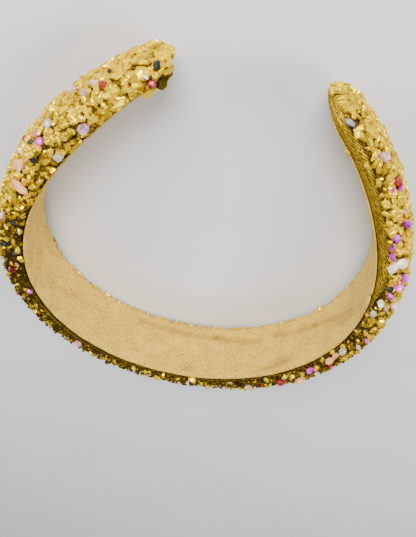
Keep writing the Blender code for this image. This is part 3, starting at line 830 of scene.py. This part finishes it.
def broken_chip(seed, cuts):
    """The points and triangles of one chip, about 1 across, broken from a cube by flat cuts."""
    draw = np.random.default_rng(seed)
    bpy.ops.object.select_all(action="DESELECT")
    bpy.ops.mesh.primitive_cube_add(size=1.0)
    bpy.ops.object.mode_set(mode="EDIT")
    for _ in range(cuts):
        way = draw.normal(size=3)
        way /= np.linalg.norm(way)
        at = way * draw.uniform(*CUT_REACH)
        bpy.ops.mesh.select_all(action="SELECT")
        bpy.ops.mesh.bisect(plane_co=at, plane_no=way, use_fill=True, clear_outer=True)
    bpy.ops.mesh.select_all(action="SELECT")
    bpy.ops.transform.resize(value=(CHIP_LENGTH, draw.uniform(*CHIP_WIDTHS), draw.uniform(*CHIP_HEIGHTS)))
    bpy.ops.mesh.remove_doubles(threshold=CHIP_MERGE)
    bpy.ops.mesh.quads_convert_to_tris()
    bpy.ops.mesh.normals_make_consistent(inside=False)
    bpy.ops.object.mode_set(mode="OBJECT")
    chip = bpy.context.object
    points = np.array([vertex.co for vertex in chip.data.vertices])
    triangles = np.array([tuple(polygon.vertices) for polygon in chip.data.polygons])
    bpy.data.objects.remove(chip)
    return points, triangles


coarse_shapes, middle_shapes, fine_shapes = (
    [broken_chip(first_seed + number, cuts) for number in range(CHIP_TEMPLATES)]
    for first_seed, cuts in ((0, COARSE_CUTS), (100, MIDDLE_CUTS), (200, FINE_CUTS))
)


def place_of(along):
    """The place that each distance along stands for, which runs on round the tips' caps."""
    into_tip = np.clip((np.abs(along) - STRAIGHT) / CAP_LENGTH, 0.0, 1.0)
    over_cap = CAP_ARC * np.arcsin(into_tip) / (math.pi / 2)
    return np.sign(along) * (np.minimum(np.abs(along), STRAIGHT) + over_cap)


def strewn(spacing, seed):
    """Jittered spots over the chips' ground: place, across, and the distance past the bare cloth's edge."""
    draw = np.random.default_rng(seed)
    places, acrosses = [], []
    for place in np.arange(-STREWN_REACH, STREWN_REACH, spacing):
        count = max(int(round(float(run_at(place) * cap_share(place)) / spacing)), 1)
        places.append(place + draw.uniform(-0.5, 0.5, count) * spacing)
        acrosses.append((np.arange(count) + draw.uniform(-SPILL, 1.0 + SPILL, count)) / count)
    place = np.clip(np.concatenate(places), -FARTHEST_PLACE, FARTHEST_PLACE)
    across = np.clip(np.concatenate(acrosses), 0.0, 1.0)
    edge = (np.minimum(across, 1.0 - across) * run_at(place) - bare_at(place, across)) * cap_share(place)
    return place, across, edge


def turned(out, tilt, draw, along_way=0.0):
    """Turning matrices that stand each copy on its way out, leaning by about its tilt."""
    lean = draw.normal(size=out.shape) * np.tan(tilt) * LEAN_SPREAD
    up = out + lean
    up /= np.linalg.norm(up, axis=1, keepdims=True)
    side = draw.normal(size=out.shape) + along_way
    side -= (side * up).sum(axis=1, keepdims=True) * up
    side /= np.linalg.norm(side, axis=1, keepdims=True)
    return np.stack([side, np.cross(up, side), up], axis=2)


def joined(shapes, points, turns, sizes, tones, draw):
    """Copies of the shapes at the points, as one set of points, triangles and tones."""
    which = draw.integers(len(shapes), size=len(points))
    all_points, all_faces, all_tones, start = [], [], [], 0
    for number, (shape, triangles) in enumerate(shapes):
        here = np.flatnonzero(which == number)
        grown = shape[None] * sizes[here][:, None]
        placed = np.einsum("nij,nkj->nki", turns[here], grown) + points[here][:, None]
        firsts = start + np.arange(len(here))[:, None, None] * len(shape)
        all_points.append(placed.reshape(-1, 3))
        all_faces.append((triangles[None] + firsts).reshape(-1, 3))
        all_tones.append(np.repeat(tones[here], len(shape)))
        start += len(here) * len(shape)
    return np.concatenate(all_points), np.concatenate(all_faces), np.concatenate(all_tones)


def clear_of_stones(points, sizes):
    """True for the chips that lie clear of the large stones."""
    clear = np.ones(len(points), dtype=bool)
    for centre, axes, reach in stone_frames:
        inside = (np.abs((points - centre) @ axes.T) / (reach + sizes[:, None] * STONE_CLEARANCE)) ** 2
        clear &= inside.sum(axis=1) > 1.0
    return clear


def chip_piece(name, material, points, faces, tones):
    """A piece of joined chips that stands for the crust, with nothing under the ground it lies on."""
    points[:, 2] = np.maximum(points[:, 2], 0.0)
    piece = mesh_piece(name, points, faces.tolist(), material, smooth=False)
    set_values(piece, "tone", tones)
    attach(piece, "root")
    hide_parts("gold_chip_crust")
    return piece


def gold_chips(name, shapes, sharp_angle, spacing, sizes, depths, tilt, shares, tone_range, seed):
    """A layer of chips, with how full it is and its tones for the crown and then for the arms."""
    draw = np.random.default_rng(seed)
    place, across, edge = strewn(spacing, seed + 100)
    # The dome's outside has coarse bright chips all round, the flanks only on the arms.
    dome = smooth_step((np.minimum(across, 1.0 - across) - DOME_SHARE) / DOME_BLEND)
    growth = np.maximum(np.interp(place, CHIP_GROWTH[:, 0], CHIP_GROWTH[:, 1]), DOME_GROWTH * dome)
    size = draw.uniform(*sizes, len(place)) * draw.uniform(*SIZE_SPREAD, len(place)) * growth
    at_crown, on_arms, crown_edge, arms_edge = shares
    arm = np.maximum(smooth_step((np.abs(place) - ARM_START) / ARM_RAMP), dome)
    by_cloth = smooth_step(1.0 - (edge - CLOTH_SIDE_START) / CLOTH_SIDE_RAMP)
    middle_share = at_crown + (on_arms - at_crown) * arm
    edge_share = crown_edge + (arms_edge - crown_edge) * arm
    keep = draw.uniform(0.0, 1.0, len(place)) < middle_share + (edge_share - middle_share) * by_cloth
    short = np.where(across < 0.5, SHORT_ABOVE, SHORT_BELOW)
    keep &= edge > size * (short + draw.uniform(-SHORT_SPREAD, SHORT_SPREAD, len(place)))
    # Painted shade on the chips beside the lining on the -X arm.
    edge_shade = np.interp(place, EDGE_SHADE_PLACES, EDGE_SHADE_SHARES) * smooth_step(1.0 - edge / EDGE_SHADE_WIDTH) * (across < 0.5)
    place, across, size, arm, edge_shade = (column[keep] for column in (place, across, size, arm, edge_shade))
    leaning = tilt * np.interp(place, FLAT_PLACES, FLAT_SHARES)
    depth = draw.uniform(*depths, len(place))
    highest = np.interp(place, HIGHEST_PLACES, HIGHEST_CHIPS) * cap_share(place)
    depth = np.maximum(depth, size * CHIP_HALF_THICKNESS - highest) + CAP_SINK * (1.0 - cap_share(place))
    depth = np.minimum(depth, crust_depth(place, across) + LEAST_DEPTH)
    points, out = on_body(place, across, depth)
    ahead, _ = on_body(place + CHIP_STEP, across, depth)
    clear = clear_of_stones(points, size)
    points, out, ahead, size, arm, edge_shade, leaning = (
        column[clear] for column in (points, out, ahead, size, arm, edge_shade, leaning)
    )
    wide = draw.uniform(*WIDTH_SPREAD, len(size))
    high = draw.uniform(*HEIGHT_SPREAD, len(size))
    stretch = np.stack([np.ones(len(size)), wide, high], axis=1)
    turns = turned(out, leaning[:, None], draw, (ahead - points) / CHIP_STEP * CHIP_COMBING)
    # The darker tones round the crown are partly the chips' own and partly painted shade on the crown's
    # flanks.
    crown_dark, crown_bright, arm_dark, arm_bright = tone_range
    dark = crown_dark + (arm_dark - crown_dark) * arm
    bright = crown_bright + (arm_bright - crown_bright) * arm
    brightness = draw.uniform(0.0, 1.0, len(points)) ** (CROWN_DARK_POWER + (1.0 - CROWN_DARK_POWER) * arm)
    tones = dark + (bright - dark) * brightness - edge_shade
    points, faces, tones = joined(shapes, points, turns, size[:, None] * stretch, tones, draw)
    piece = chip_piece(name, chip_gold, points, faces, tones)
    piece.data.shade_smooth()
    piece.data.set_sharp_from_angle(angle=sharp_angle)


# The bed of glue and dust under the chips.
bed_place = np.linspace(-REACH, REACH, BED_ROWS) * BED_REACH_SHARE
bed_share = np.linspace(0.0, 1.0, BED_COLUMNS)
bed_draw = np.random.default_rng(BED_SEED)
wanders = BED_WANDER * bed_draw.uniform(-1.0, 1.0, (2, BED_ROWS))
low_rim, high_rim = (
    np.clip((bare_at(bed_place, side) + wander) / run_at(bed_place), 0.0, WIDEST_RIM_SHARE)
    for side, wander in zip((0.0, 1.0), wanders)
)
bed_across = low_rim[:, None] + (1.0 - high_rim - low_rim)[:, None] * bed_share[None]
bed_places = np.repeat(bed_place[:, None], BED_COLUMNS, axis=1)
under = crust_depth(bed_places, bed_across) + GAP / 2
bumps = bed_draw.uniform(-1.0, 1.0, bed_across.shape) * BED_ROUGHNESS
from_edge = np.minimum(bed_share, 1.0 - bed_share)
inside = smooth_step(from_edge / BED_EDGE_SHARE)[None]
top_depth = under + (np.minimum(under - LEAST_DEPTH, BED_DEPTH) + bumps - under) * inside
bed_top, _ = on_body(bed_places, bed_across, top_depth)
bed_under, _ = on_body(bed_places, bed_across, under)
bed_rings = np.concatenate([bed_top, bed_under[:, -2:0:-BED_UNDER_STEP], bed_top[:, :1]], axis=1)
bed_ring = bed_rings.shape[1]
# It is speckled, and darkest beside the lining, where its painted shade is deepest.
bed_tones = bed_draw.uniform(0.0, 1.0, (BED_ROWS, bed_ring)) ** 2 * BED_SPECKLE
bed_tones[:, :BED_COLUMNS] *= smooth_step(from_edge / BED_SHADE_SHARE)
bed_tones[:, BED_COLUMNS:] = 0.0
bed_faces = np.array(grid_faces(BED_ROWS, bed_ring))
bed_points = bed_rings.reshape(-1, 3)
chip_bed = chip_piece("gold_dust_and_shade_bed", chip_gold, bed_points, bed_faces, bed_tones)
chip_bed.data.shade_smooth()

# The middle and fine chips, which lie between and under the coarse ones, have darker tones, partly their own
# and partly painted shade among the coarse chips.
for layer in (
    {
        "name": "coarse_gold_chips",
        "shapes": coarse_shapes,
        "sharp_angle": COARSE_SHARP_ANGLE,
        "spacing": 0.00185,
        "sizes": (0.0023, 0.0032),
        "depths": (0.0001, 0.0010),
        "tilt": 0.45,
        "shares": (0.35, 1.0, 0.10, 0.90),
        "tone_range": (0.10, 0.95, 0.32, 1.12),
        "seed": 31,
    },
    {
        "name": "middle_gold_chips",
        "shapes": middle_shapes,
        "sharp_angle": SMALL_SHARP_ANGLE,
        "spacing": 0.00125,
        "sizes": (0.0012, 0.0018),
        "depths": (0.0003, 0.0012),
        "tilt": 0.55,
        "shares": (0.60, 0.22, 0.30, 0.30),
        "tone_range": (0.00, 0.88, 0.18, 0.80),
        "seed": 32,
    },
    {
        "name": "fine_gold_chips",
        "shapes": fine_shapes,
        "sharp_angle": SMALL_SHARP_ANGLE,
        "spacing": 0.00094,
        "sizes": (0.0007, 0.0013),
        "depths": (0.0004, 0.0014),
        "tilt": 0.80,
        "shares": (0.65, 0.10, 0.85, 0.20),
        "tone_range": (0.0, 0.48, 0.0, 0.55),
        "seed": 33,
    },
):
    gold_chips(**layer)

# The standing chips, and the small ones that show past the lining's lower edge round the crown.
draw = np.random.default_rng(RIM_SEED)
along, across, length, tones = np.array(STANDING_CHIPS).T
lift = length * np.interp(along, LIFT_PLACES, LIFT_SHARES)
points, out = on_body(place_of(along), across, -lift)
ahead, _ = on_body(place_of(along) + CHIP_STEP, across, -lift)
turns = turned(out, STANDING_TILT, draw, (ahead - points) / CHIP_STEP * STANDING_COMBING)
sizes = length[:, None] * np.array(STANDING_SHAPE)
standing = joined(middle_shapes, points, turns, sizes, tones, draw)
along = draw.uniform(*RIM_ALONG, RIM_CHIPS)
length = draw.uniform(*RIM_LENGTHS, RIM_CHIPS)
drop = size_on_curve(LINING_COLUMN, along) + draw.uniform(*RIM_DROPS, RIM_CHIPS)
points = on_line(along, draw.uniform(*RIM_OUTS, RIM_CHIPS), -drop)
turns = turned(np.tile((0.0, 0.0, -1.0), (RIM_CHIPS, 1)), RIM_TILT, draw)
sizes = np.repeat(length[:, None], 3, axis=1)
rim = joined(fine_shapes, points, turns, sizes, draw.uniform(*RIM_TONES, RIM_CHIPS), draw)
points, faces, tones = (np.concatenate(pair) for pair in zip(standing, rim))
faces[len(standing[1]):] += len(standing[0])
chip_piece("standing_gold_chips", chip_gold, points, faces, tones)


# The stones
# Rough stones pressed into the chips while the glue is wet: rose and clear quartz, and magenta, garnet-red
# and smoky glass. The larger ones are cut with a flat table, the small ones are chips of the same.

# Each finish's dark, middle and light colour.
STONE_CLOUDS = {
    "rose_quartz": ((0.24, 0.07, 0.09), (0.62, 0.30, 0.31), (0.95, 0.66, 0.68)),
    "salmon_quartz": ((0.46, 0.15, 0.05), (0.86, 0.37, 0.15), (1.00, 0.56, 0.30)),
    "peach_quartz": ((0.72, 0.38, 0.22), (0.95, 0.70, 0.55), (1.00, 0.90, 0.82)),
    "magenta_glass": ((0.20, 0.003, 0.27), (0.80, 0.025, 0.85), (1.00, 0.20, 0.98)),
    "garnet_glass": ((0.030, 0.001, 0.002), (0.24, 0.010, 0.014), (0.62, 0.06, 0.06)),
    "clear_quartz": ((0.28, 0.20, 0.18), (0.62, 0.52, 0.47), (0.96, 0.90, 0.82)),
    "smoky_glass": ((0.003, 0.003, 0.004), (0.009, 0.009, 0.012), (0.03, 0.03, 0.04)),
    "mauve_quartz": ((0.10, 0.035, 0.05), (0.30, 0.14, 0.17), (0.72, 0.48, 0.52)),
    "grey_quartz": ((0.03, 0.028, 0.028), (0.16, 0.15, 0.14), (0.55, 0.52, 0.46)),
}
MOTTLE_SCALE = 210.0
# Each finish's roughness, metallic, transmission, subsurface and coat.
STONE_SHINE = {
    "rose_quartz": (0.22, 0.0, 0.0, 0.08, 0.50),
    "salmon_quartz": (0.26, 0.0, 0.0, 0.10, 0.40),
    "peach_quartz": (0.24, 0.0, 0.0, 0.10, 0.40),
    "magenta_glass": (0.22, 0.45, 0.0, 0.0, 0.60),
    "garnet_glass": (0.28, 0.20, 0.0, 0.0, 0.25),
    "clear_quartz": (0.14, 0.0, 0.18, 0.0, 0.30),
    "smoky_glass": (0.45, 0.0, 0.0, 0.0, 0.0),
    "mauve_quartz": (0.22, 0.0, 0.0, 0.05, 0.50),
    "grey_quartz": (0.20, 0.0, 0.0, 0.0, 0.30),
}
# How deep red, green and blue light go into the cloudy ones.
LIGHT_DEPTHS = (0.0012, 0.0007, 0.0007)
# The large stones of another colour than most of their kind, and the finish each has.
OTHER_FINISHES = {
    "clear_stone_06": "grey_quartz",
    "rose_stone_02": "mauve_quartz",
    "rose_stone_04": "salmon_quartz",
    "rose_stone_05": "salmon_quartz",
    "rose_stone_07": "salmon_quartz",
    "rose_stone_08": "salmon_quartz",
    "rose_stone_09": "peach_quartz",
    "rose_stone_10": "peach_quartz",
}
# The small stones: finish, along, across and length.
SMALL_STONES = (
    ("smoky_glass", -0.1820, 0.230, 0.0030),
    ("clear_quartz", -0.1789, 0.185, 0.0016),
    ("smoky_glass", -0.1685, 0.403, 0.0018),
    ("rose_quartz", -0.1599, 0.316, 0.0028),
    ("clear_quartz", -0.1390, 0.469, 0.0020),
    ("magenta_glass", -0.1379, 0.324, 0.0023),
    ("smoky_glass", -0.1350, 0.309, 0.0020),
    ("garnet_glass", -0.1296, 0.445, 0.0022),
    ("rose_quartz", -0.1291, 0.313, 0.0024),
    ("smoky_glass", -0.1324, 0.195, 0.0021),
    ("rose_quartz", -0.1044, 0.216, 0.0034),
    ("smoky_glass", -0.1051, 0.117, 0.0024),
    ("peach_quartz", -0.1012, 0.060, 0.0017),
    ("smoky_glass", -0.0942, 0.155, 0.0024),
    ("smoky_glass", -0.0905, 0.081, 0.0022),
    ("clear_quartz", -0.0858, 0.196, 0.0028),
    ("salmon_quartz", -0.0847, 0.072, 0.0020),
    ("magenta_glass", -0.0702, 0.048, 0.0019),
    ("garnet_glass", -0.0699, 0.167, 0.0018),
    ("garnet_glass", -0.0705, 0.985, 0.0036),
    ("rose_quartz", 0.0091, 0.076, 0.0019),
    ("salmon_quartz", 0.0171, 0.120, 0.0020),
    ("rose_quartz", 0.0272, 0.040, 0.0014),
    ("smoky_glass", 0.0297, 0.065, 0.0019),
    ("rose_quartz", 0.0333, 0.106, 0.0026),
    ("garnet_glass", 0.0392, 0.103, 0.0020),
    ("smoky_glass", 0.0402, 0.049, 0.0018),
    ("clear_quartz", 0.0622, 0.141, 0.0028),
    ("garnet_glass", 0.0694, 0.121, 0.0024),
    ("salmon_quartz", 0.0749, 0.062, 0.0034),
    ("rose_quartz", 0.0841, 0.139, 0.0026),
    ("magenta_glass", 0.0887, 0.154, 0.0022),
    ("smoky_glass", 0.0935, 0.066, 0.0020),
    ("rose_quartz", 0.1059, 0.157, 0.0024),
    ("magenta_glass", 0.1151, 0.208, 0.0032),
    ("smoky_glass", 0.1151, 0.140, 0.0024),
    ("peach_quartz", 0.1241, 0.150, 0.0038),
    ("magenta_glass", 0.1291, 0.148, 0.0026),
    ("magenta_glass", 0.1322, 0.150, 0.0026),
    ("rose_quartz", 0.1420, 0.332, 0.0020),
    ("magenta_glass", 0.1498, 0.358, 0.0024),
    ("magenta_glass", 0.1525, 0.248, 0.0020),
    ("smoky_glass", 0.1768, 0.219, 0.0020),
)
# Strays are strewn over the side that the photo doesn't show, between these shares across.
STRAY_STONES = 110
STRAY_FARTHEST = 0.180
STRAY_ACROSS = (0.73, 0.94)
STRAY_LENGTHS = (0.0014, 0.0026)
STRAY_SEED = 47
STRAY_FINISHES = ("rose_quartz", "magenta_glass", "garnet_glass", "clear_quartz", "smoky_glass")
# How deep a small stone is pressed in and its widths and height, for a length of 1, and its tilt.
STONE_SINK = 0.05
STONE_WIDTHS = (0.70, 0.95)
STONE_HEIGHT = 1.5
STONE_TILT = 0.20

stone_finishes = {}
for finish, clouds in STONE_CLOUDS.items():
    stone, nodes, links, shader = new_finish(finish)
    stone_grain = place_grain(nodes, 1500.0, 0.18, 0.00005)
    mottle_place = nodes.new("ShaderNodeTexCoord")
    mottle = new_node(nodes, "TexNoise", Scale=MOTTLE_SCALE, Detail=3.0)
    links.new(mottle_place.outputs["Object"], mottle.inputs["Vector"])
    cloudy = mixed(nodes, links, 0.3, mottle.outputs["Fac"], stone_grain.outputs["Mask"])
    stone_tones = colour_ramp(nodes, ((0.36, clouds[0]), (0.50, clouds[1]), (0.64, clouds[2])))
    links.new(cloudy, stone_tones.inputs["Fac"])
    links.new(stone_tones.outputs["Color"], shader.inputs["Base Color"])
    links.new(stone_grain.outputs["Normal"], shader.inputs["Normal"])
    roughness, metallic, transmission, subsurface, coat = STONE_SHINE[finish]
    shader.inputs["Roughness"].default_value = roughness
    shader.inputs["Metallic"].default_value = metallic
    shader.inputs["Transmission Weight"].default_value = transmission
    shader.inputs["Subsurface Weight"].default_value = subsurface
    shader.inputs["Subsurface Radius"].default_value = LIGHT_DEPTHS
    shader.inputs["Coat Weight"].default_value = coat
    shader.inputs["Coat Roughness"].default_value = 0.08
    stone_finishes[finish] = stone

for name in stone_nodes:
    finish = next(key for key in STONE_CLOUDS if key.startswith(name.split("_")[0]))
    for slot in frame["nodes"][name].material_slots:
        slot.material = stone_finishes[OTHER_FINISHES.get(name, finish)]

draw = np.random.default_rng(STRAY_SEED)
small_stones = list(SMALL_STONES)
for finish in draw.choice(STRAY_FINISHES, STRAY_STONES):
    along = draw.uniform(-STRAY_FARTHEST, STRAY_FARTHEST)
    across = draw.uniform(*STRAY_ACROSS)
    small_stones.append((str(finish), along, across, draw.uniform(*STRAY_LENGTHS)))
for finish, stone in stone_finishes.items():
    rows = [row for row in small_stones if row[0] == finish]
    if not rows:
        continue
    along, across, length = np.array([row[1:] for row in rows]).T
    points, out = on_body(place_of(along), across, length * STONE_SINK)
    wide = draw.uniform(*STONE_WIDTHS, len(rows))
    stretch = np.stack([np.ones(len(rows)), wide, np.full(len(rows), STONE_HEIGHT)], axis=1)
    turns = turned(out, STONE_TILT, draw)
    tones = np.zeros(len(rows))
    points, faces, tones = joined(coarse_shapes, points, turns, length[:, None] * stretch, tones, draw)
    chip_piece("small_" + finish.split("_")[0] + "_stones", stone, points, faces, tones)


# The studio
# A matt pale floor that the headband lies on, a wide soft key lamp over the camera, two weaker ones at the
# sides and a small one behind, in a dim room. The camera stands as the photo's did to the headband.
FLOOR_REACH = 3.0
floor_paint, nodes, links, shader = new_finish("pale_floor")
floor_place = nodes.new("ShaderNodeTexCoord")
floor_noise = new_node(nodes, "TexNoise", Scale=14.0, Detail=4.0)
links.new(floor_place.outputs["Object"], floor_noise.inputs["Vector"])
floor_tones = colour_ramp(nodes, ((0.3, (0.74, 0.74, 0.75)), (0.7, (0.78, 0.78, 0.79))))
links.new(floor_noise.outputs["Fac"], floor_tones.inputs["Fac"])
links.new(floor_tones.outputs["Color"], shader.inputs["Base Color"])
shader.inputs["Roughness"].default_value = 0.75
bpy.ops.object.select_all(action="DESELECT")
bpy.ops.mesh.primitive_plane_add(size=2 * FLOOR_REACH)
floor = bpy.context.object
floor.name = "floor"
floor.data.materials.append(floor_paint)

# Each lamp's name, place, size and power in watts. All are aimed at the headband's middle.
LAMP_AIM = Vector((0.0, 0.0, 0.015))
LAMPS = (
    ("key_lamp", (-0.06, 0.58, 0.46), 0.30, 8.8),
    ("left_lamp", (-0.60, 0.20, 0.32), 0.26, 2.4),
    ("right_lamp", (0.55, 0.12, 0.42), 0.26, 3.0),
    ("back_lamp", (0.02, -0.42, 0.55), 0.12, 0.9),
)
for name, place, size, watts in LAMPS:
    lamp = bpy.data.lights.new(name, "AREA")
    lamp.size = size
    lamp.energy = watts
    holder = bpy.data.objects.new(name, lamp)
    holder.location = place
    holder.rotation_euler = (LAMP_AIM - Vector(place)).to_track_quat("-Z", "Y").to_euler()
    bpy.context.collection.objects.link(holder)

world = bpy.data.worlds.new("studio")
world.use_nodes = True
background = world.node_tree.nodes["Background"]
background.inputs["Color"].default_value = (0.80, 0.80, 0.82, 1.0)
background.inputs["Strength"].default_value = 0.22
bpy.context.scene.world = world

# The camera's place from the crown, its turns about x, y and z in degrees, and its focal length in pixels.
CAMERA_PLACE = (0.0035209973, 0.2375636321, 0.1685369115)
CAMERA_TURNS = (-46.83563061, 8.52743927, 9.04132181)
FOCAL_PIXELS = 660.1131577
PHOTO_HEIGHT = 537
SENSOR_WIDTH = 36.0
turn_x, turn_y, turn_z = (
    Matrix.Rotation(math.radians(angle), 4, axis) for angle, axis in zip(CAMERA_TURNS, "XYZ")
)
lens = bpy.data.cameras.new("camera")
lens.sensor_width = SENSOR_WIDTH
lens.lens = lens.sensor_width * FOCAL_PIXELS / PHOTO_HEIGHT
lens.clip_start = 0.01
lens.clip_end = 20.0
camera = bpy.data.objects.new("camera", lens)
camera.matrix_world = Matrix.Translation(Vector(CAMERA_PLACE) + Vector(CROWN)) @ turn_z @ turn_y @ turn_x
bpy.context.collection.objects.link(camera)
bpy.context.scene.camera = camera
